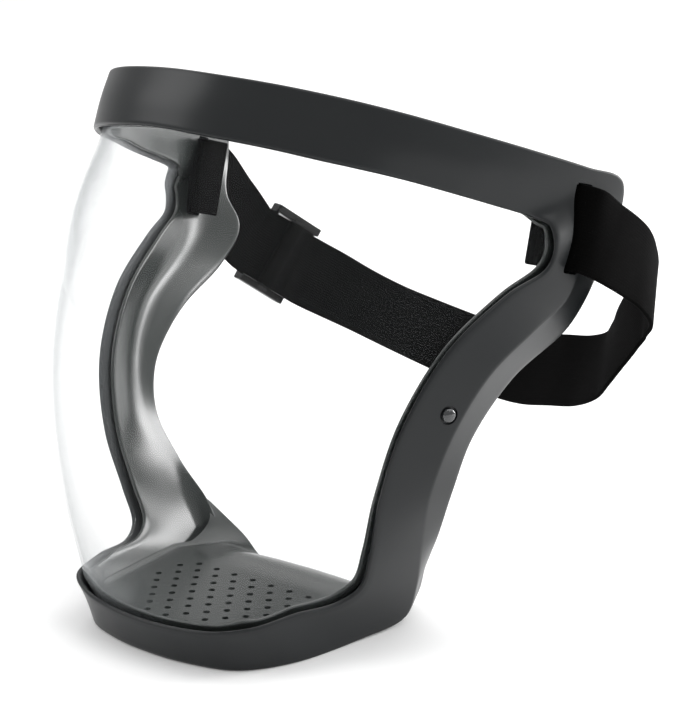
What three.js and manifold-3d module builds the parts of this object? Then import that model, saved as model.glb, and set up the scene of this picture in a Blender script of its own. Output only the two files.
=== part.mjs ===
// Full-face shield: moulded frame, doubly curved clear visor, vented chin tray, push rivets
// and an adjustable elastic head strap. Millimetres, +Z up, wearer faces -Y, wearer's left is +X.
// It stands on its chin cup, so the brow band rises towards the front.
import * as THREE from "three";
import { mergeVertices } from "three/addons/utils/BufferGeometryUtils.js";
import Module from "manifold-3d";

const wasm = await Module();
wasm.setup();

// ---- driving dimensions --------------------------------------------------------------------
const frameWall = 2.6; // outer frame wall
const visorGap = 0.5; // clearance on each face of the visor
const visorWall = 1.0; // visor sheet
const linerWall = 1.6; // inner frame wall
const visorLap = 6; // how far the visor's rim reaches under the outer frame
const strapWidth = 30;
const strapThick = 1.6;
const slotHeight = 31.5;
const slotLength = 7.6;
const ventDiameter = 2.6;
const ventPitch = 9; // across the tray, between holes of one row
const ventRow = 5.6; // between rows, which are staggered by half a pitch
const meetingGap = 0.3; // least gap between pieces that meet
const rivetHead = 5;
const rivetHole = 3.4;
const originY = 16.9; // the middle of the whole box, front to back
const originZ = 8.8; // the chin cup's flat rim

// ---- ribs: [opening edge, crease, rear or top edge] down one half of the frame, x >= 0 ------
const ribs = [
  [[0, -76, 190.9], [0, -72.2, 201], [0, -67, 209.6]],
  [[21.5, -73.2, 189.3], [21.3, -69.6, 199.5], [20, -64.8, 208.6]],
  [[42, -62, 185.4], [40.6, -59.4, 196], [38.4, -55.7, 205.8]],
  [[57.8, -45.6, 179.8], [57, -43, 190.5], [55, -41, 201]],
  [[68, -28.5, 174.2], [69.5, -27, 185], [68.4, -24.5, 195.3]],
  [[76.5, -11.5, 168.2], [78.5, -9, 178.5], [78.3, -4.7, 188.5]],
  [[82, 4.5, 162.6], [85.5, 10, 172], [86.8, 16, 181.4]],
  [[87, 17.5, 158], [91.5, 30, 166.5], [94.5, 42, 172.6]],
  [[91.5, 22.3, 155.6], [95, 43.5, 162], [97.8, 58.2, 166.6]],
  [[94, 22.8, 150], [95.5, 42, 151], [97, 59, 155.5]],
  [[93.6, 23, 144.6], [94.5, 38, 139.5], [92.5, 55, 141]],
  [[92, 20.5, 139.6], [92.5, 33, 128], [87, 58, 128.5]],
  [[87, 6, 133.2], [90.5, 17, 119.5], [85.6, 45, 114.5]],
  [[80, -18.5, 116.5], [86.5, -4, 106.5], [81.6, 17, 100.5]],
  [[73.5, -34, 92.5], [81.5, -16.5, 88.5], [78.6, -2, 82.5]],
  [[67, -38.5, 66], [75, -20.5, 67.5], [74.4, -7, 64]],
  [[61, -36, 44], [65, -12.5, 44], [66, -3.5, 46]],
  [[56.4, -35.7, 31.8], [57, -5, 24], [54.5, 4, 30]],
  [[52.5, -43, 27.6], [53, -6, 12], [49.5, 3.5, 16]],
  [[48.4, -60, 27.8], [49.8, -28, 9.2], [41, -19, 9.6]],
  [[42.5, -77, 26], [45.2, -58.5, 8.8], [36, -47, 8.8]],
  [[31.5, -83.2, 24], [35.2, -75.3, 8.8], [26, -62, 8.8]],
  [[16.5, -86.8, 23.1], [18.2, -81.8, 8.8], [14, -68, 8.8]],
  [[0, -88, 22.7], [0, -83.6, 8.8], [0, -70, 8.8]],
];
const stepsPerRib = 2;
const templeRib = 9; // where the band's edge ends and the rail's begins
const chinRib = 18; // where the rail's edge ends and the chin's begins
const chinFloor = 8.8; // the chin cup's rim is flat at this height, and the frame stands on it

// ---- helpers -------------------------------------------------------------------------------
const v3 = (p) => new THREE.Vector3(p[0], p[1], p[2]);
const mirrored = (p) => [-p[0], p[1], p[2]];

// one column of the ribs as a smooth closed loop: down the left side and up the right one
function columnLoop(column) {
  const down = ribs.map((rib) => rib[column]);
  const up = down.slice(1, -1).map(mirrored).reverse();
  const curve = new THREE.CatmullRomCurve3([...down, ...up].map(v3), true, "centripetal");
  const count = (ribs.length - 1) * 2 * stepsPerRib;
  return Array.from({ length: count }, (_, i) => {
    const point = curve.getPoint(i / count);
    return point.setZ(Math.max(point.z, chinFloor));
  });
}

const edgeLoop = columnLoop(0);
const creaseLoop = columnLoop(1);
const rearLoop = columnLoop(2);
const stations = edgeLoop.length;
// the point at station i of a loop, which may lie between two stations
function at(loop, i) {
  const below = Math.floor(i);
  const start = loop[(below + stations) % stations];
  return start.clone().lerp(loop[(below + 1 + stations) % stations], i - below);
}

// five points from the opening edge over the crease to the rear edge, and their outward normals
const sectionSteps = [0, 0.5, 1, 1.5, 2];
function surfacePoint(i, s) {
  if (s <= 1) return at(edgeLoop, i).lerp(at(creaseLoop, i), s);
  return at(creaseLoop, i).lerp(at(rearLoop, i), s - 1);
}
function surfaceNormal(i, s) {
  const along = surfacePoint(i + 1, s).sub(surfacePoint(i - 1, s));
  const across = surfacePoint(i, Math.min(s + 0.5, 2)).sub(surfacePoint(i, Math.max(s - 0.5, 0)));
  return along.cross(across).normalize();
}
// point at depth mm under the frame's outer surface
function under(i, s, depth) {
  return surfacePoint(i, s).addScaledVector(surfaceNormal(i, s), -depth);
}

function solidFrom(points, faces) {
  const geometry = new THREE.BufferGeometry();
  geometry.setAttribute("position", new THREE.Float32BufferAttribute(points.flatMap((p) => p.toArray()), 3));
  geometry.setIndex(faces.flat());
  return geometry;
}

// closed loft through equal point rings; a ring list that closes on itself makes a torus
function loft(rings, closed) {
  const n = rings[0].length;
  const points = rings.flat();
  const faces = [];
  const spans = closed ? rings.length : rings.length - 1;
  for (let i = 0; i < spans; i += 1) {
    const j = (i + 1) % rings.length;
    for (let k = 0; k < n; k += 1) {
      const m = (k + 1) % n;
      faces.push([i * n + k, j * n + k, j * n + m], [i * n + k, j * n + m, i * n + m]);
    }
  }
  if (!closed) {
    const last = (rings.length - 1) * n;
    for (let k = 1; k < n - 1; k += 1) {
      faces.push([0, k, k + 1], [last, last + k + 1, last + k]);
    }
  }
  return outward(solidFrom(points, faces));
}

function signedVolume(geometry) {
  const p = geometry.attributes.position;
  const index = geometry.index;
  const a = new THREE.Vector3();
  const b = new THREE.Vector3();
  const c = new THREE.Vector3();
  let volume = 0;
  for (let i = 0; i < index.count; i += 3) {
    a.fromBufferAttribute(p, index.getX(i));
    b.fromBufferAttribute(p, index.getX(i + 1));
    c.fromBufferAttribute(p, index.getX(i + 2));
    volume += a.dot(b.cross(c)) / 6;
  }
  return volume;
}

// turns a closed geometry's faces outwards
function outward(geometry) {
  if (signedVolume(geometry) < 0) {
    const index = geometry.index;
    for (let i = 0; i < index.count; i += 3) {
      const b = index.getX(i + 1);
      index.setX(i + 1, index.getX(i + 2));
      index.setX(i + 2, b);
    }
  }
  return geometry;
}

function toSolid(geometry) {
  const bare = geometry.clone();
  bare.deleteAttribute("normal");
  bare.deleteAttribute("uv");
  const merged = mergeVertices(bare, 1e-4);
  const vertProperties = Float32Array.from(merged.attributes.position.array);
  const triVerts = Uint32Array.from(merged.index.array);
  return new wasm.Manifold(new wasm.Mesh({ numProp: 3, vertProperties, triVerts }));
}

// the largest of the bodies that a cut leaves
function largest(solid) {
  return solid.decompose().reduce((best, body) => (body.volume() > best.volume() ? body : best));
}

function toGeometry(solid) {
  const mesh = solid.getMesh();
  const geometry = new THREE.BufferGeometry();
  geometry.setAttribute("position", new THREE.BufferAttribute(Float32Array.from(mesh.vertProperties), 3));
  geometry.setIndex(Array.from(mesh.triVerts));
  return geometry;
}

// an upright bar, cylinder or box turned so that its +Y axis points along direction
function aimed(geometry, centre, direction) {
  const upright = new THREE.Vector3(0, 1, 0);
  const turn = new THREE.Quaternion().setFromUnitVectors(upright, direction.clone().normalize());
  geometry.applyQuaternion(turn);
  geometry.translate(centre.x, centre.y, centre.z);
  return geometry;
}

// ---- places on the frame -------------------------------------------------------------------
const rivetRib = 13.75; // how far down the rail the rivets sit, in ribs
const rivetStation = rivetRib * stepsPerRib;
const rivetAcross = 0.72; // from the opening edge (0) towards the crease (1)
const rivetPlace = surfacePoint(rivetStation, rivetAcross);
const rivetAxis = surfaceNormal(rivetStation, rivetAcross);
const slotPlace = new THREE.Vector3(95.3, 36, 152);
const slotLean = -0.25; // radians that the slot's top leans towards the back
const sides = [["left", 1], ["right", -1]];
const toSide = (p, side) => new THREE.Vector3(p.x * side, p.y, p.z);

// a box leaning as the slot does, its middle at the slot, x mm to one side
function leaning(box, side, x) {
  return box.rotateX(slotLean).translate(x * side, slotPlace.y, slotPlace.z);
}

// what the rivets and the strap pass through, cut from every layer
const cutThrough = 30; // longer than all the layers are thick
const roundSteps = 20; // facets round a rivet and its hole
function rivetBore(side) {
  const bore = new THREE.CylinderGeometry(rivetHole / 2, rivetHole / 2, cutThrough, roundSteps);
  return toSolid(aimed(bore, toSide(rivetPlace, side), toSide(rivetAxis, side)));
}
function strapSlot(side) {
  return toSolid(leaning(new THREE.BoxGeometry(cutThrough, slotLength, slotHeight), side, slotPlace.x));
}

// the main body again, once its vertices have been rounded to 32 bits
function singleBody(solid) {
  return toGeometry(largest(toSolid(toGeometry(largest(solid)))));
}

// a keep-out shell reaches this far past the frame's own surface
const past = 1;

// a shell that follows the frame's outer surface between two depths under it
function frameShell(steps, from, to) {
  return toSolid(loft(edgeLoop.map((_, i) => [
    ...steps.map((s) => under(i, s, from)),
    ...[...steps].reverse().map((s) => under(i, s, to)),
  ]), true));
}

// ---- outer frame ---------------------------------------------------------------------------
function outerFrame() {
  let solid = frameShell(sectionSteps, 0, frameWall);
  for (const [, side] of sides) {
    solid = solid.subtract(rivetBore(side)).subtract(strapSlot(side));
  }
  return toGeometry(solid);
}

// ---- inner frame: the liner that clamps the visor's rim ---------------------------------------
const linerDepth = frameWall + visorWall + 2 * visorGap;
const linerSteps = [0.04, 0.5, 0.95, 1.35, 1.72]; // stops short of the rear edge
function innerFrame() {
  let solid = frameShell(linerSteps, linerDepth, linerDepth + linerWall);
  solid = largest(solid.subtract(frameShell(sectionSteps, -past, frameWall + meetingGap)));
  for (const [, side] of sides) {
    solid = solid.subtract(rivetBore(side)).subtract(strapSlot(side));
  }
  return singleBody(solid);
}

// ---- visor: rows from rail to rail over a bulging centre line, its rim lapped under the frame -------
const visorRings = 6; // rings from the rim to the middle
const rimStep = 0.02; // the rim starts just behind the opening edge, as a share of edge to crease
const mostLap = 0.62; // the lap's limit where the frame is narrow, on the same scale
const visorCentre = [[-95.5, 158], [-101.8, 118], [-100.8, 72]]; // y, z down the middle, between its rims
function visorSheet(depth) {
  const rim = edgeLoop.map((_, i) => under(i, rimStep, depth));
  const temple = templeRib * stepsPerRib;
  const chin = chinRib * stepsPerRib;
  const half = stations / 2;
  const top = (u) => at(rim, temple * u);
  const bottom = (u) => at(rim, half - (half - chin) * u);
  const rail = (v) => at(rim, temple + (chin - temple) * v);
  const middle = visorCentre.map(([y, z]) => new THREE.Vector3(0, y + depth, z));
  const centreLine = new THREE.CatmullRomCurve3([top(0), ...middle, bottom(0)], false, "centripetal");
  // how far a point lies from the rail (0) to the centre (1) along one axis
  const share = (p, axis, centre, end) => (p[axis] - end[axis]) / (centre[axis] - end[axis]);
  const place = (u, v) => {
    const side = Math.sign(u);
    const out = Math.abs(u);
    const mix = (axis) => (1 - v) * share(top(out), axis, top(0), top(1))
      + v * share(bottom(out), axis, bottom(0), bottom(1));
    const end = rail(v);
    const centre = centreLine.getPoint(v);
    const point = new THREE.Vector3(end.x * (1 - mix("x")), end.y, end.z);
    point.y += (centre.y - end.y) * mix("y");
    point.z += (centre.z - end.z) * mix("z");
    point.x *= side;
    return point;
  };
  // where station i lies on the border of the square u -1..1, v 0..1
  const square = (i) => {
    const j = i <= half ? i : stations - i;
    const side = i <= half ? 1 : -1;
    if (j <= temple) return [(side * j) / temple, 0];
    if (j <= chin) return [side, (j - temple) / (chin - temple)];
    return [(side * (half - j)) / (half - chin), 1];
  };
  const lap = (i) => Math.min(mostLap, visorLap / at(edgeLoop, i).distanceTo(at(creaseLoop, i)));
  const rings = [edgeLoop.map((_, i) => under(i, lap(i), depth))];
  for (let r = 0; r < visorRings; r += 1) {
    const size = 1 - r / visorRings;
    rings.push(edgeLoop.map((_, i) => {
      const [u, v] = square(i);
      return place(u * size, 0.5 + (v - 0.5) * size);
    }));
  }
  return { rings, centre: place(0, 0.5) };
}

function visor() {
  const outer = visorSheet(frameWall + visorGap);
  const inner = visorSheet(frameWall + visorGap + visorWall);
  const points = [...outer.rings.flat(), ...inner.rings.flat(), outer.centre, inner.centre];
  const ringCount = outer.rings.length;
  const faces = [];
  for (const [sheet, flip] of [[0, false], [1, true]]) {
    const base = sheet * ringCount * stations;
    const add = (a, b, c) => faces.push(flip ? [a, c, b] : [a, b, c]);
    for (let r = 0; r < ringCount - 1; r += 1) {
      for (let i = 0; i < stations; i += 1) {
        const j = (i + 1) % stations;
        const a = base + r * stations;
        const b = a + stations;
        add(a + i, a + j, b + j);
        add(a + i, b + j, b + i);
      }
    }
    const last = base + (ringCount - 1) * stations;
    const middle = 2 * ringCount * stations + sheet;
    for (let i = 0; i < stations; i += 1) add(last + i, last + ((i + 1) % stations), middle);
  }
  for (let i = 0; i < stations; i += 1) {
    const j = (i + 1) % stations;
    const b = ringCount * stations;
    faces.push([i, b + j, j], [i, b + i, b + j]);
  }
  let solid = toSolid(outward(solidFrom(points, faces)));
  solid = solid.subtract(frameShell(sectionSteps, -past, frameWall + meetingGap));
  const clearance = frameShell(linerSteps, linerDepth - meetingGap, linerDepth + linerWall + past);
  solid = largest(solid.subtract(clearance));
  for (const [, side] of sides) {
    solid = solid.subtract(rivetBore(side));
  }
  return toGeometry(solid);
}

// ---- vented chin tray with the neck lip behind it -----------------------------------------------
const trayTop = 20;
const trayWall = 2;
const trayFront = -78;
const trayRear = -20;
const trayHalfWidth = 44;
// right-hand half of the tray's outline, front to rear
const trayHalf = [[26, trayFront + 3], [36, -68], [41.5, -52], [trayHalfWidth, -36]];
const ventMargin = 4; // first and last rows stay this far inside the tray
const ventColumns = 4; // most columns on each side of the middle one
const ventNarrow = 15; // the perforated field's half width at the front
const ventBelly = 19; // and how much wider it gets, over an arc of ventArc radians
const ventArc = 2.2;
function ventHalfWidth(y) {
  return ventNarrow + ventBelly * Math.sin((ventArc * (y - trayFront)) / (trayRear - trayFront));
}
// neck lip, raised at its corners: [x, front y, front z, middle y, middle z, rear y, rear z]
const lipSections = [
  [0, -21, 19.4, -4, 17.2, 7.8, 13], [17, -21, 19.4, -4, 17.2, 6.5, 13.2], [27, -21, 19.4, -3.5, 17, 6.5, 12.6],
  [35.5, -21, 19.4, 0, 16.4, 12, 11], [42, -21, 19.4, 0, 18.4, 11.5, 17], [45, -20, 19.6, -2, 22, 8, 22.5],
];
function chinTray() {
  const outline = new THREE.Shape();
  const otherHalf = trayHalf.map(([x, y]) => new THREE.Vector2(-x, y)).reverse();
  outline.moveTo(0, trayFront);
  outline.splineThru(trayHalf.map(([x, y]) => new THREE.Vector2(x, y)));
  outline.lineTo(trayHalfWidth, trayRear);
  outline.lineTo(-trayHalfWidth, trayRear);
  outline.lineTo(otherHalf[0].x, otherHalf[0].y);
  outline.splineThru(otherHalf.slice(1));
  outline.lineTo(0, trayFront);
  const extrusion = { depth: trayWall, bevelEnabled: false, curveSegments: 4 };
  const plate = new THREE.ExtrudeGeometry(outline, extrusion);
  plate.translate(0, 0, trayTop - trayWall);
  let solid = toSolid(plate);
  const lips = [...lipSections.slice(1).reverse().map(([x, ...row]) => [-x, ...row]), ...lipSections];
  const rings = lips.map(([x, y0, z0, y1, z1, y2, z2]) => [
    [x, y0, z0], [x, y1, z1], [x, y2, z2], [x, y2 - 0.6, z2 - trayWall], [x, y1, z1 - trayWall],
    [x, y0, z0 - trayWall + 0.8],
  ].map(v3));
  solid = solid.add(toSolid(loft(rings, false)));
  const rows = Math.ceil((trayRear - trayFront - 2 * ventMargin) / ventRow);
  for (let row = 0; row < rows; row += 1) {
    const y = trayFront + ventMargin + row * ventRow;
    for (let k = -ventColumns; k <= ventColumns; k += 1) {
      const x = (k + (row % 2) / 2) * ventPitch;
      if (Math.abs(x) > ventHalfWidth(y)) continue;
      const hole = new THREE.CylinderGeometry(ventDiameter / 2, ventDiameter / 2, 4 * trayWall, 8);
      hole.rotateX(Math.PI / 2);
      hole.translate(x, y, trayTop);
      solid = solid.subtract(toSolid(hole));
    }
  }
  solid = solid.subtract(frameShell(sectionSteps, -past, frameWall + meetingGap));
  const linerSpace = frameShell(linerSteps, linerDepth - meetingGap, linerDepth + linerWall + meetingGap);
  return singleBody(solid.subtract(linerSpace));
}

// ---- push rivet: a low domed head, a shank through all three layers -----------------------------
const rivetRise = 1.5; // the head stands this far above the frame
const rivetSeat = 0.35; // its rim clears the frame by this
const rivetShank = rivetHole / 2 - 0.35;
const rivetReach = linerDepth + linerWall + 1.6; // from the frame's surface to the shank's end
function rivet(side) {
  const profile = [
    [0, -rivetReach], [rivetShank, -rivetReach], [rivetShank, rivetSeat], [rivetHead / 2, rivetSeat],
    [2, 1], [1.2, 1.4], [0, rivetRise],
  ].map(([r, y]) => new THREE.Vector2(r, y));
  const geometry = new THREE.LatheGeometry(profile, roundSteps);
  return aimed(geometry, toSide(rivetPlace, side), toSide(rivetAxis, side));
}

// ---- strap: one run of elastic from the left slot round the back to the right one ----------------
// x, y, z, then how far the strap's upper edge leans towards +X and +Y for each mm of height
const strapRoute = [
  [84.4, 36, 152, 0, 0.25], [97, 36.4, 151.9, 0, 0.27], [101.6, 45, 146.5, -0.09, 0.75],
  [103.8, 60.4, 137.2, -0.23, 1.02], [103.8, 67.8, 130.7, -0.5, 1.26], [102.3, 73.7, 124.2, -0.7, 1.27],
  [96.9, 77.6, 118.8, -0.86, 1.21], [90.1, 80.5, 112, -1.34, 1.51], [83.4, 84, 104.5, -1.57, 1.85],
  [76.3, 88.1, 95.6, -1.32, 1.91], [68, 94.1, 88, -0.76, 1.33], [55.5, 100.9, 82.4, -0.37, 0.87],
  [38.7, 107.9, 78.5, -0.16, 0.63], [20.5, 115.9, 74.4, 0, 0.46], [0.9, 123.7, 72.5, 0.09, 0.32],
  [-19.8, 129.1, 73.4, 0.18, 0.19], [-41.2, 130.7, 76.8, 0.24, 0.1], [-60.3, 129.7, 81.2, 0.3, 0.04],
  [-77, 125.6, 87.4, 0.25, 0.05], [-88, 118.4, 94, 0.12, 0.08], [-94.4, 108.8, 100.7, 0, 0],
  [-99, 96, 109.8, 0, 0], [-103.6, 83.2, 118.9, 0, 0], [-106, 75, 132, 0, 0.05],
  [-106, 65, 145, 0, 0.12], [-104.4, 52, 151, 0, 0.2], [-102, 42.5, 151.5, 0, 0.25],
  [-97, 36.5, 152, 0, 0.25], [-84.4, 36, 152, 0, 0.25],
];
const strapSteps = 3; // between two points of the route

function strap() {
  const curve = new THREE.CatmullRomCurve3(strapRoute.map(v3), false, "centripetal");
  const leans = new THREE.CatmullRomCurve3(strapRoute.map(([, , , x, y]) => new THREE.Vector3(x, y, 1)));
  const steps = (strapRoute.length - 1) * strapSteps;
  const rings = [];
  for (let i = 0; i <= steps; i += 1) {
    const centre = curve.getPoint(i / steps);
    const along = curve.getTangent(i / steps).normalize();
    const face = leans.getPoint(i / steps).cross(along).normalize();
    const a = face.clone().multiplyScalar(strapThick / 2);
    const b = along.clone().cross(face).multiplyScalar(strapWidth / 2);
    rings.push([
      centre.clone().add(a).add(b), centre.clone().sub(a).add(b),
      centre.clone().sub(a).sub(b), centre.clone().add(a).sub(b),
    ]);
  }
  return loft(rings, false);
}

// ---- the strap's hemmed end, folded thick enough not to pull through the slot ---------------------
const stopThick = 5.4;
const stopDepth = 16;
const stopFace = 84; // its outer face, just inside the inner frame
function strapStop(side) {
  const block = new THREE.BoxGeometry(stopThick, stopDepth, strapWidth);
  return leaning(block, side, stopFace - stopThick / 2);
}

// ---- slider: side bars, two end bars outside the strap and a centre bar inside it ----------------
const sliderPlace = new THREE.Vector3(-99, 96, 109.8);
const sliderRun = new THREE.Vector3(-4.6, -12.8, 9.1).normalize(); // along the strap, towards the slot
const sliderLength = 24;
const sliderSide = 2.2; // side bars, past the strap's edges
const sliderBar = 4; // end and centre bars, along the strap
const sliderThick = 1.6;
const sliderGap = 1; // free space over and under the strap
const sliderEdge = 0.6; // free space beside the strap
function slider() {
  const tunnel = strapThick / 2 + sliderGap;
  const halfWidth = strapWidth / 2 + sliderEdge;
  const barLength = 2 * halfWidth + sliderSide;
  const bar = (x, y, z, cx, cy, cz) => toSolid(new THREE.BoxGeometry(x, y, z).translate(cx, cy, cz));
  const sideX = (sliderLength - sliderBar) / 2;
  const barY = tunnel + sliderThick / 2;
  const depth = 2 * (tunnel + sliderThick);
  let solid = bar(sliderBar, sliderThick, barLength, 0, barY, 0);
  for (const end of [-1, 1]) {
    solid = solid.add(bar(sliderLength, depth, sliderSide, 0, 0, end * (halfWidth + sliderSide / 2)));
    solid = solid.add(bar(sliderBar, sliderThick, barLength, end * sideX, -barY, 0));
  }
  const across = new THREE.Vector3(0, 0, 1).cross(sliderRun).normalize();
  const upward = sliderRun.clone().cross(across);
  const facing = upward.clone().cross(sliderRun);
  const place = new THREE.Matrix4().makeBasis(sliderRun, facing, upward).setPosition(sliderPlace);
  return toGeometry(solid).applyMatrix4(place);
}

// ---- the assembly -------------------------------------------------------------------------------
const darkPlastic = { color: 0x34373a, roughness: 0.42, metalness: 0 };
const linerPlastic = { color: 0x5c615f, roughness: 0.45, metalness: 0 };
const clearPlastic = { color: 0xf4f8fa, roughness: 0.05, metalness: 0, transparent: true, opacity: 0.2 };
const webbing = { color: 0x121214, roughness: 0.9, metalness: 0 };

const shield = new THREE.Group();
shield.position.set(0, -originY, -originZ);

function addPart(name, geometry, finish) {
  const mesh = new THREE.Mesh(geometry, new THREE.MeshStandardMaterial(finish));
  mesh.name = name;
  shield.add(mesh);
  return mesh;
}

addPart("outer_frame", outerFrame(), darkPlastic);
addPart("inner_frame", innerFrame(), linerPlastic);
addPart("visor", visor(), clearPlastic);
addPart("chin_tray", chinTray(), linerPlastic);
for (const [name, side] of sides) {
  addPart(`rivet_${name}`, rivet(side), clearPlastic);
  addPart(`strap_stop_${name}`, strapStop(side), webbing);
}
addPart("strap", strap(), webbing);
addPart("slider", slider(), webbing);

export default shield;
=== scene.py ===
"""Looks for the full-face shield. Lengths are in millimetres until mm() turns them into metres."""

import math

import bmesh
import bpy
import numpy as np
from mathutils import Matrix, Vector


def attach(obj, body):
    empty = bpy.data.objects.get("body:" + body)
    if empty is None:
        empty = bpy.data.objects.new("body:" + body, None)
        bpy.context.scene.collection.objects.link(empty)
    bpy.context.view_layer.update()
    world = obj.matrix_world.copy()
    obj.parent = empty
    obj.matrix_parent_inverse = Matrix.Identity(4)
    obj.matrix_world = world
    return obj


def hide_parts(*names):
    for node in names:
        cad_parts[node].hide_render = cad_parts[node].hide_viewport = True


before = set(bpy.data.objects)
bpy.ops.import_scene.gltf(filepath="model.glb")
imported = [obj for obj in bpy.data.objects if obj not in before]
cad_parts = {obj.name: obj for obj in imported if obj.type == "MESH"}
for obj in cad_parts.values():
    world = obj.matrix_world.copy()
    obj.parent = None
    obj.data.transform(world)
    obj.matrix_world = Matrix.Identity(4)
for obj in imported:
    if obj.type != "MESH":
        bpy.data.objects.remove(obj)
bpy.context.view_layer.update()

# ---- sizes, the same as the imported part's --------------------------------------------------------
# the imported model's origin, in design millimetres
ORIGIN = np.array([0, 16.9, 8.8])
FRAME_WALL = 2.6
VISOR_GAP = 0.5
VISOR_WALL = 1.0
LINER_WALL = 1.6
LINER_DEPTH = FRAME_WALL + VISOR_WALL + 2 * VISOR_GAP
VISOR_LAP = 6
STRAP_WIDTH = 30
STRAP_THICK = 1.6
SLOT_LENGTH = 7.6
SLOT_HEIGHT = 31.5
SLOT_PLACE = (95.3, 36, 152)
SLOT_LEAN = -0.25
CHIN_FLOOR = 8.8
RIVET_RIB = 13.75
RIVET_ACROSS = 0.72
RIVET_HOLE = 3.4
TEMPLE_RIB = 9
CHIN_RIB = 18
SIDES = (("left", 1), ("right", -1))

# Opening edge, crease, rear or top edge, down the wearer's left half of the frame. Many of the opening
# edge's and top edge's points were solved by a fitting script and rounded: see report.md.
RIBS = [
    [[0, -76, 190.9], [0, -72.2, 201], [0, -67, 209.6]],
    [[21.5, -73.2, 189.3], [21.3, -69.6, 199.5], [20, -64.8, 208.6]],
    [[42, -62, 185.4], [40.6, -59.4, 196], [38.4, -55.7, 205.8]],
    [[57.8, -45.6, 179.8], [57, -43, 190.5], [55, -41, 201]],
    [[68, -28.5, 174.2], [69.5, -27, 185], [68.4, -24.5, 195.3]],
    [[76.5, -11.5, 168.2], [78.5, -9, 178.5], [78.3, -4.7, 188.5]],
    [[82, 4.5, 162.6], [85.5, 10, 172], [86.8, 16, 181.4]],
    [[87, 17.5, 158], [91.5, 30, 166.5], [94.5, 42, 172.6]],
    [[91.5, 22.3, 155.6], [95, 43.5, 162], [97.8, 58.2, 166.6]],
    [[94, 22.8, 150], [95.5, 42, 151], [97, 59, 155.5]],
    [[93.6, 23, 144.6], [94.5, 38, 139.5], [92.5, 55, 141]],
    [[92, 20.5, 139.6], [92.5, 33, 128], [87, 58, 128.5]],
    [[87, 6, 133.2], [90.5, 17, 119.5], [85.6, 45, 114.5]],
    [[80, -18.5, 116.5], [86.5, -4, 106.5], [81.6, 17, 100.5]],
    [[73.5, -34, 92.5], [81.5, -16.5, 88.5], [78.6, -2, 82.5]],
    [[67, -38.5, 66], [75, -20.5, 67.5], [74.4, -7, 64]],
    [[61, -36, 44], [65, -12.5, 44], [66, -3.5, 46]],
    [[56.4, -35.7, 31.8], [57, -5, 24], [54.5, 4, 30]],
    [[52.5, -43, 27.6], [53, -6, 12], [49.5, 3.5, 16]],
    [[48.4, -60, 27.8], [49.8, -28, 9.2], [41, -19, 9.6]],
    [[42.5, -77, 26], [45.2, -58.5, 8.8], [36, -47, 8.8]],
    [[31.5, -83.2, 24], [35.2, -75.3, 8.8], [26, -62, 8.8]],
    [[16.5, -86.8, 23.1], [18.2, -81.8, 8.8], [14, -68, 8.8]],
    [[0, -88, 22.7], [0, -83.6, 8.8], [0, -70, 8.8]],
]
HALF = len(RIBS) - 1
LOOP = RIBS + [[[-x, y, z] for x, y, z in rib] for rib in RIBS[-2:0:-1]]

# x, y, z, then how far the strap's upper edge leans towards +X and +Y for each mm of height. The rows
# from the left temple round the back were solved by a fitting script and rounded: see report.md.
STRAP_ROUTE = [
    [84.4, 36, 152, 0, 0.25], [97, 36.4, 151.9, 0, 0.27], [101.6, 45, 146.5, -0.09, 0.75],
    [103.8, 60.4, 137.2, -0.23, 1.02], [103.8, 67.8, 130.7, -0.5, 1.26],
    [102.3, 73.7, 124.2, -0.7, 1.27],
    [96.9, 77.6, 118.8, -0.86, 1.21], [90.1, 80.5, 112, -1.34, 1.51], [83.4, 84, 104.5, -1.57, 1.85],
    [76.3, 88.1, 95.6, -1.32, 1.91], [68, 94.1, 88, -0.76, 1.33], [55.5, 100.9, 82.4, -0.37, 0.87],
    [38.7, 107.9, 78.5, -0.16, 0.63], [20.5, 115.9, 74.4, 0, 0.46], [0.9, 123.7, 72.5, 0.09, 0.32],
    [-19.8, 129.1, 73.4, 0.18, 0.19], [-41.2, 130.7, 76.8, 0.24, 0.1], [-60.3, 129.7, 81.2, 0.3, 0.04],
    [-77, 125.6, 87.4, 0.25, 0.05], [-88, 118.4, 94, 0.12, 0.08], [-94.4, 108.8, 100.7, 0, 0],
    [-99, 96, 109.8, 0, 0], [-103.6, 83.2, 118.9, 0, 0], [-106, 75, 132, 0, 0.05],
    [-106, 65, 145, 0, 0.12], [-104.4, 52, 151, 0, 0.2], [-102, 42.5, 151.5, 0, 0.25],
    [-97, 36.5, 152, 0, 0.25], [-84.4, 36, 152, 0, 0.25],
]
SLIDER_PLACE = (-99, 96, 109.8)
SLIDER_RUN = (-4.6, -12.8, 9.1)


# ---- helpers -------------------------------------------------------------------------------------
def mm(points):
    """Design points in millimetres as places in the row frame, in metres."""
    return (np.asarray(points, float) - ORIGIN) / 1000


def unit(v):
    """The vectors at length 1."""
    v = np.asarray(v, float)
    return v / np.maximum(np.linalg.norm(v, axis=-1, keepdims=True), 1e-12)


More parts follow.
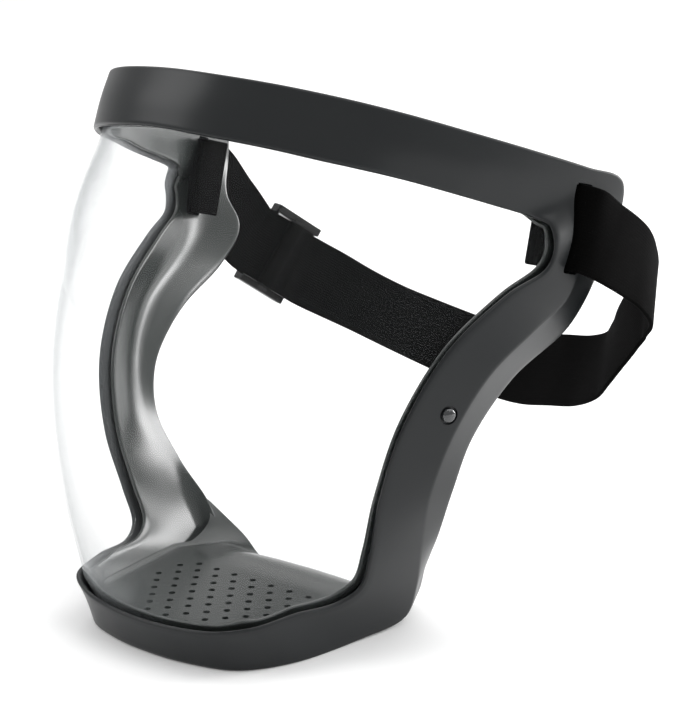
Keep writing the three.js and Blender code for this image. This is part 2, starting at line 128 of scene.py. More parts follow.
def catmull(points, where, closed):
    """Centripetal Catmull-Rom curve through the points, at places counted in points."""
    p = np.asarray(points, float)
    where = np.atleast_1d(np.asarray(where, float))
    first = np.floor(where).astype(int)
    if closed:
        p0, p1, p2, p3 = (p[(first + k) % len(p)] for k in (-1, 0, 1, 2))
    else:
        first = np.clip(first, 0, len(p) - 2)
        longer = np.vstack([2 * p[0] - p[1], p, 2 * p[-1] - p[-2]])
        p0, p1, p2, p3 = (longer[first + k] for k in range(4))
    gaps = [((a - b) ** 2).sum(-1)[:, None] ** 0.25 for a, b in ((p0, p1), (p1, p2), (p2, p3))]
    d1 = np.where(gaps[1] < 1e-4, 1, gaps[1])
    d0 = np.where(gaps[0] < 1e-4, d1, gaps[0])
    d2 = np.where(gaps[2] < 1e-4, d1, gaps[2])
    m1 = ((p1 - p0) / d0 - (p2 - p0) / (d0 + d1) + (p2 - p1) / d1) * d1
    m2 = ((p2 - p1) / d1 - (p3 - p1) / (d1 + d2) + (p3 - p2) / d2) * d1
    t = (where - first)[:, None]
    return p1 + m1 * t + (3 * (p2 - p1) - 2 * m1 - m2) * t**2 + (2 * (p1 - p2) + m1 + m2) * t**3


# places in ribs down from the brow's middle, and how far from the crease a wall starts to turn, in mm
CRISP_TURN = ([0, 6, 8.5, 10.5, 17, 19, 23], [9, 9, 7, 1, 0.9, 1.3, 1.8])
SOFT_TURN = ([0, 6, 8.5, 10.5, 16, 18.5, 23], [9, 9, 9, 9, 7, 1.6, 1.8])
MOST_TURN = 0.45


def folded(where, soft):
    """How far from the crease a wall starts to turn, in mm; the liner's rails turn softly."""
    down = np.minimum(where % len(LOOP), len(LOOP) - where % len(LOOP))
    return np.interp(down, *(SOFT_TURN if soft else CRISP_TURN))[:, None]


def columns(where):
    """The opening edge, crease and rear edge at places along the loop."""
    lines = [catmull([rib[c] for rib in LOOP], where, True) for c in range(3)]
    for line in lines:
        line[:, 2] = np.maximum(line[:, 2], CHIN_FLOOR)
    return lines


def section(where, soft):
    """The three lines, how far apart they are in mm, and the share of each gap that the bend takes."""
    edge, crease, rear = (line[:, None, :] for line in columns(where))
    reaches = [np.linalg.norm(b - a, axis=-1) for a, b in ((edge, crease), (crease, rear))]
    shares = [np.minimum(MOST_TURN, folded(where, soft) / reach) for reach in reaches]
    return (edge, crease, rear), reaches, shares


def surface(where, s, soft):
    """The frame's outer surface: where is in ribs along the loop, s from opening edge 0 to rear 2."""
    (edge, crease, rear), _, (da, db) = section(where, soft)
    flat = edge + (crease - edge) * np.clip(s, 0, 1)[..., None]
    flat = flat + (rear - crease) * np.clip(s - 1, 0, 1)[..., None]
    t = ((s - 1 + da) / (da + db))[..., None]
    start = crease + (edge - crease) * da[..., None]
    end = crease + (rear - crease) * db[..., None]
    bend = (1 - t) ** 2 * start + 2 * t * (1 - t) * crease + t**2 * end
    return np.where((t > 0) & (t < 1), bend, flat)


def skin(where, s, depth, soft=False):
    """Points at a depth in mm under the frame's outer surface."""
    where = np.atleast_1d(np.asarray(where, float))
    s = np.asarray(s, float) * np.ones((len(where), 1))
    along = surface(where + 0.1, s, soft) - surface(where - 0.1, s, soft)
    ahead, behind = np.minimum(s + 0.03, 2), np.maximum(s - 0.03, 0)
    across = surface(where, ahead, soft) - surface(where, behind, soft)
    normal = unit(np.cross(along, across))
    return surface(where, s, soft) - normal * np.broadcast_to(depth, s.shape)[..., None]


def mesh_object(name, points, faces):
    """A mesh from design points in mm, its faces turned outwards."""
    mesh = bpy.data.meshes.new(name)
    mesh.from_pydata(mm(points).tolist(), [], [tuple(int(i) for i in f) for f in faces])
    bm = bmesh.new()
    bm.from_mesh(mesh)
    bmesh.ops.remove_doubles(bm, verts=bm.verts, dist=1e-7)
    bmesh.ops.recalc_face_normals(bm, faces=bm.faces)
    if bm.calc_volume(signed=True) < 0:
        bmesh.ops.reverse_faces(bm, faces=bm.faces)
    bm.to_mesh(mesh)
    bm.free()
    piece = bpy.data.objects.new(name, mesh)
    bpy.context.scene.collection.objects.link(piece)
    return piece


def grid_faces(rows, cols, close_rows, close_cols, start=0):
    """Quads over a grid of points, joined up at its ends where asked."""
    faces = []
    for r in range(rows if close_rows else rows - 1):
        for c in range(cols if close_cols else cols - 1):
            a, b = r, (r + 1) % rows
            d, e = c, (c + 1) % cols
            corners = (a, d), (a, e), (b, e), (b, d)
            faces.append([start + row * cols + column for row, column in corners])
    return faces


def baked(piece):
    """The piece with its modifiers turned into mesh."""
    graph = bpy.context.evaluated_depsgraph_get()
    mesh = bpy.data.meshes.new_from_object(piece.evaluated_get(graph))
    piece.modifiers.clear()
    piece.data = mesh
    return piece


def smooth(piece, angle=35):
    """The piece smooth shaded, with edges sharper than the angle in degrees left crisp."""
    piece.data.shade_smooth()
    piece.data.set_sharp_from_angle(angle=math.radians(angle))
    return piece


def cut(piece, *cutters):
    """The piece with each cutter taken away from it."""
    for cutter in cutters:
        change = piece.modifiers.new("cut", "BOOLEAN")
        change.operation = "DIFFERENCE"
        change.solver = "EXACT"
        change.object = cutter
    baked(piece)
    for cutter in cutters:
        bpy.data.objects.remove(cutter)
    return piece


def remeshed(piece, voxel, rounds):
    """The piece as one rounded skin: voxel in mm, then rounds of smoothing."""
    change = piece.modifiers.new("skin", "REMESH")
    change.mode = "VOXEL"
    change.voxel_size = voxel / 1000
    soften = piece.modifiers.new("soften", "SMOOTH")
    soften.iterations = rounds
    soften.factor = 0.5
    return baked(piece)


def lathe(profile, steps):
    """Points and faces of a solid of revolution about +Y, from (radius, height) pairs."""
    angles = np.arange(steps) * 2 * math.pi / steps
    rows = [[[r * math.cos(a), h, r * math.sin(a)] for a in angles] for r, h in profile]
    points = np.array(rows).reshape(-1, 3)
    faces = grid_faces(len(profile), steps, False, True)
    faces += [list(range(steps)), list(range((len(profile) - 1) * steps, len(profile) * steps))]
    return points, faces


def turned(points, axis):
    """Points turned so that +Y points along the axis."""
    turn = Vector((0, 1, 0)).rotation_difference(Vector(axis)).to_matrix()
    return np.asarray(points) @ np.array(turn).T


def block(x, y, z, cx=0, cy=0, cz=0):
    """Corner points and faces of a box."""
    ends = (-0.5, 0.5)
    points = [[cx + x * i, cy + y * j, cz + z * k] for i in ends for j in ends for k in ends]
    faces = [[0, 1, 3, 2], [4, 6, 7, 5], [0, 4, 5, 1], [2, 3, 7, 6], [0, 2, 6, 4], [1, 5, 7, 3]]
    return np.array(points), faces


def joined(parts):
    """Several lots of points and faces as one."""
    points, faces = [], []
    for p, f in parts:
        start = sum(len(q) for q in points)
        points.append(np.asarray(p))
        faces += [[start + i for i in face] for face in f]
    return np.vstack(points), faces


# ---- materials -----------------------------------------------------------------------------------
def material(name, **sockets):
    """A Principled material with plain values on its own sockets, and its node tree."""
    made = bpy.data.materials.new(name)
    made.use_nodes = True
    tree = made.node_tree
    shader = tree.nodes["Principled BSDF"]
    for socket, value in sockets.items():
        shader.inputs[socket.replace("_", " ")].default_value = value
    return made, tree, shader


def node(tree, kind, inputs=None, **settings):
    """A new node, its inputs linked where a socket is given and set where a value is."""
    made = tree.nodes.new(kind)
    for key, value in settings.items():
        setattr(made, key, value)
    for key, value in (inputs or {}).items():
        if isinstance(value, bpy.types.NodeSocket):
            tree.links.new(value, made.inputs[key])
        else:
            made.inputs[key].default_value = value
    return made


def noise(tree, scale, detail=3, roughness=0.55):
    """Noise in real space: about scale features per metre."""
    place = node(tree, "ShaderNodeTexCoord")
    return node(tree, "ShaderNodeTexNoise", {"Vector": place.outputs["Object"], "Scale": scale,
                "Detail": detail, "Roughness": roughness}).outputs["Fac"]


def ranged(tree, value, low, high, start=0.3, stop=0.7):
    """A value between start and stop, spread from low to high."""
    return node(tree, "ShaderNodeMapRange", {"Value": value, "From Min": start, "From Max": stop,
                "To Min": low, "To Max": high}).outputs["Result"]


def blended(tree, factor, dark, light):
    """A colour between dark and light."""
    mix = node(tree, "ShaderNodeMix", data_type="RGBA")
    tree.links.new(factor, mix.inputs["Factor"])
    mix.inputs[6].default_value = (*dark, 1)
    mix.inputs[7].default_value = (*light, 1)
    return mix.outputs[2]


def moulded(name, dark, light, rough, shine):
    """Satin moulded plastic: fine spark-eroded grain, faint flow marks, a few soft scuffs."""
    made, tree, shader = material(name, Specular_IOR_Level=shine)
    flow = noise(tree, 35, 2)
    grain = noise(tree, 2600, 2)
    scuff = noise(tree, 240, 6, 0.7)
    tree.links.new(blended(tree, flow, dark, light), shader.inputs["Base Color"])
    worn = node(tree, "ShaderNodeMath", {0: scuff, 1: flow}, operation="MULTIPLY").outputs[0]
    spread = ranged(tree, worn, rough - 0.015, rough + 0.02, 0.12, 0.45)
    tree.links.new(spread, shader.inputs["Roughness"])
    bump = node(tree, "ShaderNodeBump", {"Height": grain, "Strength": 0.3, "Distance": 0.00001})
    tree.links.new(bump.outputs["Normal"], shader.inputs["Normal"])
    return made


def woven(name):
    """Black knitted elastic: ribs along the strap, courses across them, and fuzz."""
    made, tree, shader = material(name, Sheen_Weight=0.015, Sheen_Roughness=0.4,
                                  Specular_IOR_Level=0.03)
    shader.inputs["Sheen Tint"].default_value = (0.75, 0.75, 0.8, 1)
    flat = node(tree, "ShaderNodeUVMap", uv_map="cloth")
    threads = []
    for scale, wobble, direction in ((300, 1.2, "Y"), (420, 2.2, "X")):
        bands = node(tree, "ShaderNodeTexWave",
                     {"Vector": flat.outputs["UV"], "Scale": scale, "Distortion": wobble,
                      "Detail": 1.0, "Detail Scale": 2}, wave_type="BANDS", bands_direction=direction)
        threads.append(bands.outputs["Fac"])
    cloth = node(tree, "ShaderNodeMath", dict(enumerate(threads)), operation="MULTIPLY")
    fuzz = noise(tree, 3500, 4, 0.7)
    height = node(tree, "ShaderNodeMath", {0: cloth.outputs[0], 1: fuzz}, operation="ADD")
    patch = noise(tree, 60, 3)
    tint = node(tree, "ShaderNodeMath", {0: cloth.outputs[0], 1: patch}, operation="MULTIPLY")
    shade = ranged(tree, tint.outputs[0], 0.2, 0.9)
    yarn = blended(tree, shade, (0.001, 0.001, 0.001), (0.0065, 0.0062, 0.006))
    tree.links.new(yarn, shader.inputs["Base Color"])
    tree.links.new(ranged(tree, fuzz, 0.8, 0.97), shader.inputs["Roughness"])
    bump = node(tree, "ShaderNodeBump",
                {"Height": height.outputs[0], "Strength": 0.35, "Distance": 0.00012})
    tree.links.new(bump.outputs["Normal"], shader.inputs["Normal"])
    return made


def clear(name, tint, facing, grazing, rough, shine):
    """Clear plastic seen mostly through, showing itself in reflections and at its edges."""
    made, tree, shader = material(name, IOR=1.58, Specular_IOR_Level=shine)
    edge = node(tree, "ShaderNodeLayerWeight", {"Blend": 0.35}).outputs["Facing"]
    alpha = node(tree, "ShaderNodeMapRange", {"Value": edge, "From Min": 0.25, "From Max": 0.95,
                 "To Min": facing, "To Max": grazing}, interpolation_type="SMOOTHSTEP").outputs["Result"]
    tree.links.new(alpha, shader.inputs["Alpha"])
    haze = noise(tree, 90, 4)
    paler = tuple(min(1, c * 1.06) for c in tint)
    tree.links.new(blended(tree, haze, tint, paler), shader.inputs["Base Color"])
    tree.links.new(ranged(tree, haze, rough, rough * 1.6), shader.inputs["Roughness"])
    return made


FRAME_PLASTIC = moulded("frame_plastic", (0.011, 0.0125, 0.0135), (0.014, 0.0155, 0.0165), 0.32, 0.28)
LINER_PLASTIC = moulded("liner_plastic", (0.024, 0.028, 0.027), (0.030, 0.035, 0.033), 0.25, 0.6)
SLIDER_PLASTIC = moulded("slider_plastic", (0.003, 0.003, 0.003), (0.004, 0.004, 0.004), 0.25, 0.3)
WEBBING = woven("webbing")
VISOR_CLEAR = clear("visor_clear", (0.40, 0.42, 0.43), 0.012, 0.55, 0.04, 0.5)
RIVET_CLEAR = clear("rivet_clear", (0.02, 0.022, 0.024), 0.8, 1.0, 0.05, 1.0)


def finished(piece, look, slot, body, *nodes):
    """The piece with its look, riding on its body and standing for its nodes; slot is not used."""
    piece.data.materials.clear()
    piece.data.materials.append(look)
    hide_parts(*nodes)
    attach(piece, body)
    return piece


# ---- the two frames ------------------------------------------------------------------------------
PER_RIB = 8
ROUND_SHARE = 0.42
ROUND_ANGLES = [0, 22.5, 45, 67.5, 90]
SIDE_STEPS = 9
CORNER_STEPS = 7
THIN_SHARE = 0.3
OUTER_THINNED = 0.9
LINER_START = 0.04
LINER_STOP = 1.9
SOCKET_RADIUS = 3.3
SOCKET_DEPTH = 0.9
SLOT_CORNER = 1.2
CUT_REACH = 15
AROUND = np.arange(len(LOOP) * PER_RIB) / PER_RIB


def wall(name, start, stop, top, thick, thinned, soft):
    """A wall that follows the frame's surface from s start to stop, its four edges rounded.

    Towards the opening it thins by up to thinned mm, on its inner side.
    """
    _, (reach_a, reach_b), (da, db) = section(AROUND, soft)
    arc = np.radians(ROUND_ANGLES)
    inset = ROUND_SHARE * thick * (1 - np.cos(arc))
    sunk = ROUND_SHARE * thick * (1 - np.sin(arc))
    from_start = start + inset / reach_a
    to_stop = stop - inset / reach_b
    rise = np.linspace(0, 1, SIDE_STEPS)[1:-1]
    side = from_start[:, -1:] + (1 - da - from_start[:, -1:]) * rise
    corner = 1 - da + (da + db) * np.linspace(0, 1, CORNER_STEPS)
    back = 1 + db + (to_stop[:, -1:] - 1 - db) * rise
    s = np.hstack([from_start, side, corner, back, to_stop[:, ::-1]])
    depth = np.concatenate([sunk, np.zeros(2 * len(rise) + CORNER_STEPS), sunk[::-1]])
    outer = skin(AROUND, s, top + depth, soft)
    inner = skin(AROUND, s, top + thick - depth - thinned * np.clip(1 - s / THIN_SHARE, 0, 1), soft)
    rings = np.concatenate([outer, inner[:, ::-1]], axis=1)
    faces = grid_faces(len(AROUND), rings.shape[1], True, True)
    return mesh_object(name, rings.reshape(-1, 3), faces)


def rivet_frame(side):
    """Where a rivet sits on the outer surface, and which way it points."""
    place = skin([RIVET_RIB], [[RIVET_ACROSS]], 0.0)[0, 0]
    under = skin([RIVET_RIB], [[RIVET_ACROSS]], 1.0)[0, 0]
    flip = np.array([side, 1, 1])
    return place * flip, (place - under) * flip


def bore_cutter(side, radius=RIVET_HOLE / 2, low=-CUT_REACH, high=CUT_REACH):
    """A round cutter along a rivet, between two heights over the outer surface."""
    place, axis = rivet_frame(side)
    points, faces = lathe([(radius, low), (radius, high)], 32)
    return mesh_object("bore", turned(points, axis) + place, faces)


def slot_cutter(side):
    """A rounded slot through the temple corner, leaning with the strap."""
    half = SLOT_LENGTH / 2 - SLOT_CORNER
    rise = SLOT_HEIGHT / 2 - SLOT_CORNER
    outline = []
    for y, z, start in ((1, 1, 0), (-1, 1, 90), (-1, -1, 180), (1, -1, 270)):
        for a in np.radians(np.linspace(start, start + 90, 5)):
            outline.append([y * half + SLOT_CORNER * math.cos(a), z * rise + SLOT_CORNER * math.sin(a)])
    lean = np.array(Matrix.Rotation(SLOT_LEAN, 3, "X"))
    points = np.array([[x, y, z] for x in (-CUT_REACH, CUT_REACH) for y, z in outline]) @ lean.T
    points = points + np.array(SLOT_PLACE) * [side, 1, 1]
    n = len(outline)
    faces = grid_faces(2, n, False, True) + [list(range(n)), list(range(n, 2 * n))]
    return mesh_object("slot", points, faces)


outer = wall("outer_shell", 0, 2, 0, FRAME_WALL, OUTER_THINNED, False)
bores = [bore_cutter(side) for _, side in SIDES]
sockets = [bore_cutter(side, SOCKET_RADIUS, -SOCKET_DEPTH, 3) for _, side in SIDES]
cut(outer, *bores, *sockets, *[slot_cutter(side) for _, side in SIDES])
finished(smooth(outer), FRAME_PLASTIC, "frame_plastic", "shield", "outer_frame")

liner = wall("inner_shell", LINER_START, LINER_STOP, LINER_DEPTH, LINER_WALL, 0, True)
cut(liner, *[slot_cutter(side) for _, side in SIDES])
finished(smooth(liner), LINER_PLASTIC, "liner_plastic", "shield", "inner_frame")

# ---- visor ---------------------------------------------------------------------------------------
# y and z of points down the visor's middle, between its two rims
VISOR_CENTRE = [[-95.5, 158], [-101.8, 118], [-100.8, 72]]
VISOR_RINGS = 26
VISOR_RIM = 0.02
RIM_STEPS = 240
MOST_LAP = 0.62
EVENING_ROUNDS = 14


def visor_sheet(depth):
    """Rings of points from the lapped rim to the middle, at a depth under the frame's surface."""
    def rim(where):
        return skin(where, [[VISOR_RIM]], depth)[:, 0]

    steps = np.linspace(0, 1, RIM_STEPS)
    top = rim(TEMPLE_RIB * steps)
    bottom = rim(HALF - (HALF - CHIN_RIB) * steps)
    rail = rim(TEMPLE_RIB + (CHIN_RIB - TEMPLE_RIB) * steps)
    middle = np.vstack([top[0], [[0, y + depth, z] for y, z in VISOR_CENTRE], bottom[0]])
    centre_line = catmull(middle, steps * (len(middle) - 1), False)

    def at(line, t):
        return np.stack([np.interp(t, steps, line[:, k]) for k in range(3)], -1)

    def share(line, t):
        """How far along each axis a rim point is from its end at the rail to the middle."""
        whole = line[0] - line[-1]
        return (at(line, t) - line[-1]) / np.where(abs(whole) < 1e-6, 1, whole)

    def place(u, v):
        out = abs(u)
        mix = (1 - v)[:, None] * share(top, out) + v[:, None] * share(bottom, out)
        end, mid = at(rail, v), at(centre_line, v)
        point = end + (mid - end) * mix
        point[:, 0] = end[:, 0] * (1 - mix[:, 0]) * np.sign(u)
        return point

    down = np.minimum(AROUND, len(LOOP) - AROUND)
    hand = np.where(AROUND <= HALF, 1, -1)
    u = np.select([down <= TEMPLE_RIB, down <= CHIN_RIB], [down / TEMPLE_RIB, 1 + 0 * down],
                  (HALF - down) / (HALF - CHIN_RIB)) * hand
    v = np.clip((down - TEMPLE_RIB) / (CHIN_RIB - TEMPLE_RIB), 0, 1)
    edge, crease, _ = columns(AROUND)
    lap = np.minimum(MOST_LAP, VISOR_LAP / np.linalg.norm(crease - edge, axis=-1))
    rings = [skin(AROUND, (lap * part)[:, None], depth)[:, 0] for part in (1, 0.66, 0.33)]
    for r in range(VISOR_RINGS):
        size = 1 - r / VISOR_RINGS
        rings.append(place(u * size, 0.5 + (v - 0.5) * size))
    rings = np.array(rings)
    for _ in range(EVENING_ROUNDS):
        inside = rings[4:-1]
        around = (np.roll(inside, 1, 1) + np.roll(inside, -1, 1)) / 2
        rings[4:-1] = 0.5 * inside + 0.25 * around + 0.125 * (rings[3:-2] + rings[5:])
    return rings, place(np.array([0.0]), np.array([0.5]))


def visor():
    """The clear sheet: its outside, its inside, and the rim between them."""
    sheets = [visor_sheet(FRAME_WALL + VISOR_GAP), visor_sheet(FRAME_WALL + VISOR_GAP + VISOR_WALL)]
    rows, n = sheets[0][0].shape[:2]
    points = np.vstack([s[0].reshape(-1, 3) for s in sheets] + [s[1] for s in sheets])
    faces = grid_faces(rows, n, False, True) + grid_faces(rows, n, False, True, rows * n)
    for k in range(2):
        last = (k + 1) * rows * n - n
        middle = 2 * rows * n + k
        faces += [[last + i, last + (i + 1) % n, middle] for i in range(n)]
    faces += [[i, (i + 1) % n, rows * n + (i + 1) % n, rows * n + i] for i in range(n)]
    return mesh_object("visor_sheet", points, faces)


lens = smooth(visor(), 60)
finished(lens, VISOR_CLEAR, "visor_clear", "shield", "visor")

# ---- rivets --------------------------------------------------------------------------------------
HEAD_RADIUS = 2.5
HEAD_RISE = 1.46
HEAD_SINK = 0.35
SHANK_RADIUS = RIVET_HOLE / 2 - 0.35
SHANK_REACH = LINER_DEPTH - 0.1
TIP_BEVEL = 0.4
HEAD_ARC = np.radians(np.linspace(-8, 84, 14))

for name, side in SIDES:
    place, axis = rivet_frame(side)
    profile = [(0.5, -SHANK_REACH), (SHANK_RADIUS, TIP_BEVEL - SHANK_REACH), (SHANK_RADIUS, -HEAD_SINK)]
    profile += [(HEAD_RADIUS - 0.2, -HEAD_SINK)]
    profile += [(HEAD_RADIUS * math.cos(a), HEAD_RISE * math.sin(a)) for a in HEAD_ARC]
    profile += [(0.02, HEAD_RISE)]
    points, faces = lathe(profile, 32)
    pin = mesh_object(f"push_rivet_{name}", turned(points, axis) + place, faces)
    finished(smooth(pin, 40), RIVET_CLEAR, "rivet_clear", "shield", f"rivet_{name}")

# ---- chin tray -----------------------------------------------------------------------------------
TRAY_TOP = 20
TRAY_WALL = 2
TRAY_FRONT = -78
TRAY_REAR = -20
TRAY_RISE = 1.6
TRAY_FILLET = 4.5
TRAY_GAP = 0.35
VENT_RADIUS = 1.3
VENT_PITCH = 9
VENT_ROW = 5.6
VENT_MARGIN = 4
VENT_COLUMNS = 4
VENT_ROWS = 9
VENT_NARROW = 15
VENT_SWELL = 19
VENT_ARC = 2.2
TRAY_COLUMNS = 61
OUTLINE_STEPS = 41
WALL_STEPS = 60
NARROWEST = 0.5
# the left half of the neck lip, rows from front to rear, each from the middle to the raised corner
LIP = [
    [[0, -14, 18.9], [17, -14, 18.9], [27, -14, 18.9], [35, -14, 18.9], [41, -14, 19], [44.5, -14, 19.5],
     [45.8, -14, 20.6]],
    [[0, -5, 17.8], [17, -5, 17.8], [27, -4.5, 17.6], [35, -3.5, 17.2], [41, -3.5, 18.2], [44.5, -5, 20.6],
     [46.6, -6.5, 23]],
    [[0, 2, 16], [17, 1.5, 16], [27, 1.5, 15.6], [35.5, 4, 14.2], [41.4, 4.5, 17.4], [45, 2, 21.8],
     [48, -1.5, 26.4]],
    [[0, 7.8, 13.2], [17, 6.4, 13.4], [27, 6.5, 12.8], [35.5, 12, 11.2], [41.6, 11.5, 17], [46, 7, 24],
     [51.6, 1.2, 32.6]],
]
LIP_SPREAD = [0, 0.37, 0.59, 0.77, 0.9, 0.97, 1]
LIP_STEPS = 17


def chin_outline(height):
    """Where the liner's inside passes a height, from the middle of the chin round to the left rail."""
    where = np.linspace(HALF, CHIN_RIB, OUTLINE_STEPS)
    s = np.broadcast_to(np.linspace(VISOR_RIM, 1, WALL_STEPS), (OUTLINE_STEPS, WALL_STEPS))
    inside = skin(where, s, LINER_DEPTH + LINER_WALL + TRAY_GAP)
    return np.array([[np.interp(-height, -line[:, 2], line[:, k]) for k in (0, 1)] for line in inside])


def tray_sheet(sink):
    """A grid of points across the tray and its lip, sink mm under its top."""
    t = np.sin(np.linspace(-1, 1, TRAY_COLUMNS) * math.pi / 2)
    rows = []
    rim = chin_outline(TRAY_TOP + TRAY_RISE - sink)
    rim[:, 0] = np.maximum(rim[:, 0], NARROWEST)
    for x, y in rim:
        near = np.ones(TRAY_COLUMNS)
        if x > TRAY_FILLET:
            near = np.clip(1 - (1 - abs(t)) * x / TRAY_FILLET, 0, 1)
        front = np.clip(1 - (y - rim[0, 1]) / TRAY_FILLET, 0, 1)
        rise = TRAY_RISE * np.maximum(near, front) ** 2
        rows.append(np.stack([x * t, y + 0 * t, TRAY_TOP - sink + rise], -1))
    across = np.interp(abs(t), LIP_SPREAD, range(len(LIP_SPREAD)))
    crossed = np.array([catmull(row, across, False).ravel() for row in LIP])
    hands = np.stack([np.sign(t), np.ones(TRAY_COLUMNS), np.ones(TRAY_COLUMNS)], -1)
    for row in catmull(crossed, np.linspace(0, len(LIP) - 1, LIP_STEPS), False):
        rows.append(row.reshape(-1, 3) * hands - [0, 0, sink])
    return np.array(rows)


def chin_tray():
    """The tray and lip without its holes: a top, an underside and the border between them."""
    top, under = tray_sheet(0), tray_sheet(TRAY_WALL)
    rows, cols = top.shape[:2]
    points = np.vstack([top.reshape(-1, 3), under.reshape(-1, 3)])
    faces = grid_faces(rows, cols, False, False) + grid_faces(rows, cols, False, False, rows * cols)
    border = list(range(cols)) + [r * cols + cols - 1 for r in range(1, rows)]
    border += [(rows - 1) * cols + c for c in range(cols - 2, -1, -1)]
    border += [r * cols for r in range(rows - 2, 0, -1)]
    for a, b in zip(border, border[1:] + border[:1]):
        faces.append([a, b, rows * cols + b, rows * cols + a])
    return mesh_object("vented_tray", points, faces)


def vents():
    """One cutter with a pin for each hole, in rows staggered by half a pitch."""
    pins = []
    for row in range(VENT_ROWS):
        y = TRAY_FRONT + VENT_MARGIN + row * VENT_ROW
        back = (y - TRAY_FRONT) / (TRAY_REAR - TRAY_FRONT)
        half = VENT_NARROW + VENT_SWELL * math.sin(VENT_ARC * back)
        for k in range(-VENT_COLUMNS, VENT_COLUMNS + 1):
            x = (k + row % 2 / 2) * VENT_PITCH
            if abs(x) <= half:
                pin, faces = lathe([(VENT_RADIUS, -5), (VENT_RADIUS, 5)], 24)
                pins.append((turned(pin, (0, 0, 1)) + np.array([x, y, TRAY_TOP]), faces))
    return mesh_object("vents", *joined(pins))


tray = cut(chin_tray(), vents())
finished(smooth(tray, 40), LINER_PLASTIC, "liner_plastic", "shield", "chin_tray")

# ---- strap ---------------------------------------------------------------------------------------
STRAP_STEPS = 10
RIBBON_STEPS = 6


def cloth_band(name, rings, centre, profile, place=lambda points: points):
    """A closed band from its rings of points, with its own length and width as UV metres."""
    count, n = rings.shape[:2]
    faces = grid_faces(count, n, False, True)
    faces += [list(range(n)), list(range((count - 1) * n, count * n))]
    piece = mesh_object(name, place(rings.reshape(-1, 3)), faces)
    run = np.concatenate([[0], np.cumsum(np.linalg.norm(np.diff(centre, axis=0), axis=1))])
    layer = piece.data.uv_layers.new(name="cloth")
    for loop in piece.data.loops:
        ring, spot = divmod(loop.vertex_index, n)
        layer.data[loop.index].uv = (run[ring] / 1000, profile[spot][0] / 1000)
    return piece


def strap():
    """The flat strap along its route, with rounded selvedges."""
    count = (len(STRAP_ROUTE) - 1) * STRAP_STEPS
    where = np.arange(count + 1) / STRAP_STEPS
    route = np.array(STRAP_ROUTE, float)
    centre = catmull(route[:, :3], where, False)
    leans = np.hstack([route[:, 3:], np.ones((len(route), 1))])
    lean = np.hstack([catmull(leans, where, False)[:, :2], np.ones((count + 1, 1))])
    along = unit(np.gradient(centre, axis=0))
    face = unit(np.cross(lean, along))
    upward = np.cross(along, face)
    half, thick = STRAP_WIDTH / 2, STRAP_THICK / 2
    spread = [half - 0.5, half - 1.2, half - 3, half / 2]
    spread += [0] + [-w for w in spread[::-1]]
    front = [(w, thick * (0.9 if abs(w) > half - 0.8 else 1)) for w in spread]
    edge = [(half - 0.15, thick * 0.6), (half, 0), (half - 0.15, -thick * 0.6)]
    profile = [edge[0], *front, *[(-w, t) for w, t in edge]]
    profile += [*[(w, -t) for w, t in front[::-1]], edge[2], edge[1]]
    rings = np.array([centre + face * t + upward * w for w, t in profile]).transpose(1, 0, 2)
    return cloth_band("head_strap", rings, centre, profile)


finished(smooth(strap(), 60), WEBBING, "webbing", "strap", "strap")


# ---- hemmed strap ends ---------------------------------------------------------------------------
def ribbon(name, route, half, thick, place):
    """A band of cloth whose middle line follows a route in its own plane, half mm to each side."""
    route = np.asarray(route, float)
    count = (len(route) - 1) * RIBBON_STEPS
    centre = catmull(route, np.arange(count + 1) / RIBBON_STEPS, False)
    along = unit(np.gradient(centre, axis=0))
    face = np.stack([-along[:, 1], along[:, 0]], -1)
    t = thick / 2
    profile = [(half, 0), (half - 0.2, t * 0.7), (half - 0.7, t), (half / 3, t), (-half / 3, t)]
    profile += [(0.7 - half, t), (0.2 - half, t * 0.7)]
    profile += [(-w, -f) for w, f in profile]
    rings = np.array([[[*(c + n * f), w] for w, f in profile] for c, n in zip(centre, face)])
    return cloth_band(name, rings, centre, profile, place)


# the hem's folds seen from above: how far outwards and backwards from the strap's end
HEM = [
    [1.9, -7], [1.9, 0], [1.7, 6], [0.9, 7.2], [0.1, 6], [0, 0], [0, -6], [-0.9, -7.3],
    [-1.8, -6.2], [-1.9, 0], [-1.7, 5],
]
HEM_PLACE = (81.3, *SLOT_PLACE[1:])
HEM_INSET = 0.3
HEM_THICK = 1.5


def strap_end(name, side):
    """The strap's end folded twice into a flat hem, leaning with the slot."""
    lean = np.array(Matrix.Rotation(SLOT_LEAN, 3, "X"))

    def place(points):
        return (points @ lean.T + np.array(HEM_PLACE)) * [side, 1, 1]

    return ribbon(f"strap_end_{name}", HEM, STRAP_WIDTH / 2 - HEM_INSET, HEM_THICK, place)


for name, side in SIDES:
    finished(smooth(strap_end(name, side), 60), WEBBING, "webbing", "shield", f"strap_stop_{name}")

# ---- slider --------------------------------------------------------------------------------------
BAR = (4, 1.5, 33)
BAR_LIFT = 2.6
BAR_PLACE = 9.9
RAIL = (23.8, 6.4, 3.4)
RAIL_PLACE = 16.7
SLEEVE_THICK = 0.9
along_slider = unit(SLIDER_RUN)
up_slider = np.cross(along_slider, unit(np.cross((0, 0, 1), along_slider)))
to_head = np.cross(up_slider, along_slider)


def on_slider(points):
    """Points given along the strap, towards the head and across the strap, at the slider's place."""
    return points @ np.array([along_slider, to_head, up_slider]) + np.array(SLIDER_PLACE)


# the middle bar is on the head's side of the strap, the two end bars on its other side
bars = [block(*BAR, 0, BAR_LIFT, 0)]
for end in (-1, 1):
    bars.append(block(*RAIL, 0, 0, end * RAIL_PLACE))
    bars.append(block(*BAR, end * BAR_PLACE, -BAR_LIFT, 0))
points, faces = joined(bars)
buckle = mesh_object("ladder_slider", on_slider(points), faces)
remeshed(buckle, 0.3, 7)
finished(smooth(buckle, 60), SLIDER_PLASTIC, "slider_plastic", "slider", "slider")

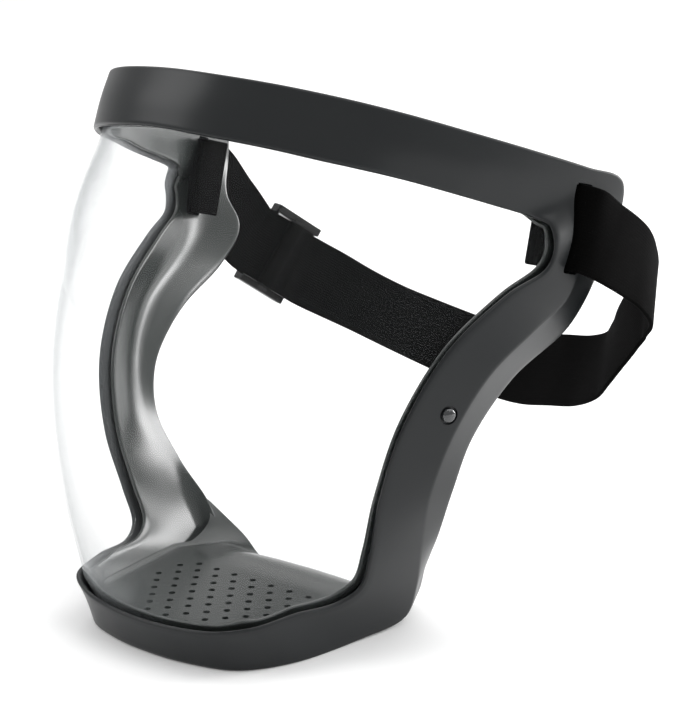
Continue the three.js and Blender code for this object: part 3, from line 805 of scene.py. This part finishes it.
# the strap's end sewn round the middle bar: how far along the strap, then towards the head
SLEEVE = [
    [-10, 2.3], [-7, 2.4], [-4, 3.1], [-2, 4.2], [1, 4.3], [2.9, 3.6], [3, 2], [1, 1.3], [-2, 1.3],
]
sleeve = ribbon("sewn_loop", SLEEVE, STRAP_WIDTH / 2, SLEEVE_THICK, on_slider)
finished(smooth(sleeve, 60), WEBBING, "webbing", "slider")

# ---- camera --------------------------------------------------------------------------------------
AZIMUTH, ELEVATION = math.radians(40), math.radians(14)
TARGET = (0, 23.227, 95.971)
DISTANCE = 0.75054
LENS = 102.42
back = Vector((math.sin(AZIMUTH) * math.cos(ELEVATION), -math.cos(AZIMUTH) * math.cos(ELEVATION),
               math.sin(ELEVATION)))
lens_data = bpy.data.cameras.new("camera")
lens_data.sensor_width = 36
lens_data.lens = LENS
camera = bpy.data.objects.new("camera", lens_data)
bpy.context.scene.collection.objects.link(camera)
camera.location = Vector(mm(TARGET)) + back * DISTANCE
camera.rotation_mode = "QUATERNION"
camera.rotation_quaternion = (-back).to_track_quat("-Z", "Y")
bpy.context.scene.camera = camera

# ---- floor and light -----------------------------------------------------------------------------
FLOOR_HALF = 4
floor_mesh = bpy.data.meshes.new("floor")
corners = [(x * FLOOR_HALF, y * FLOOR_HALF, 0) for x, y in ((-1, -1), (1, -1), (1, 1), (-1, 1))]
floor_mesh.from_pydata(corners, [], [(0, 1, 2, 3)])
floor = bpy.data.objects.new("floor", floor_mesh)
bpy.context.scene.collection.objects.link(floor)
paper, _, _ = material("pale_floor", Base_Color=(0.93, 0.93, 0.93, 1), Roughness=0.9,
                       Emission_Color=(1, 1, 1, 1), Emission_Strength=0.06)
floor_mesh.materials.append(paper)

world = bpy.data.worlds.new("studio")
world.use_nodes = True
sky = world.node_tree.nodes["Background"]
sky.inputs["Color"].default_value = (1, 1, 1, 1)
sky.inputs["Strength"].default_value = 0.6
bpy.context.scene.world = world
bpy.context.scene.view_settings.view_transform = "Standard"


def softbox(name, place, size, power, target=(0, 0, 0.1)):
    """A rectangular light of a power in watts, its places and size in metres."""
    data = bpy.data.lights.new(name, "AREA")
    data.shape = "RECTANGLE"
    data.size, data.size_y = size
    data.energy = power
    light = bpy.data.objects.new(name, data)
    bpy.context.scene.collection.objects.link(light)
    light.visible_camera = False
    light.location = place
    light.rotation_mode = "QUATERNION"
    light.rotation_quaternion = (Vector(target) - Vector(place)).to_track_quat("-Z", "Y")


softbox("key", (-0.9, -1.0, 1.1), (0.9, 0.9), 8)
softbox("rim", (1.0, 1.15, 0.35), (0.12, 0.9), 2)
softbox("behind", (0.7, 1.2, 0.42), (0.6, 0.5), 13)
softbox("overhead", (0.0, 2.0, 2.0), (5.0, 5.0), 95, (0, 2.0, 0))
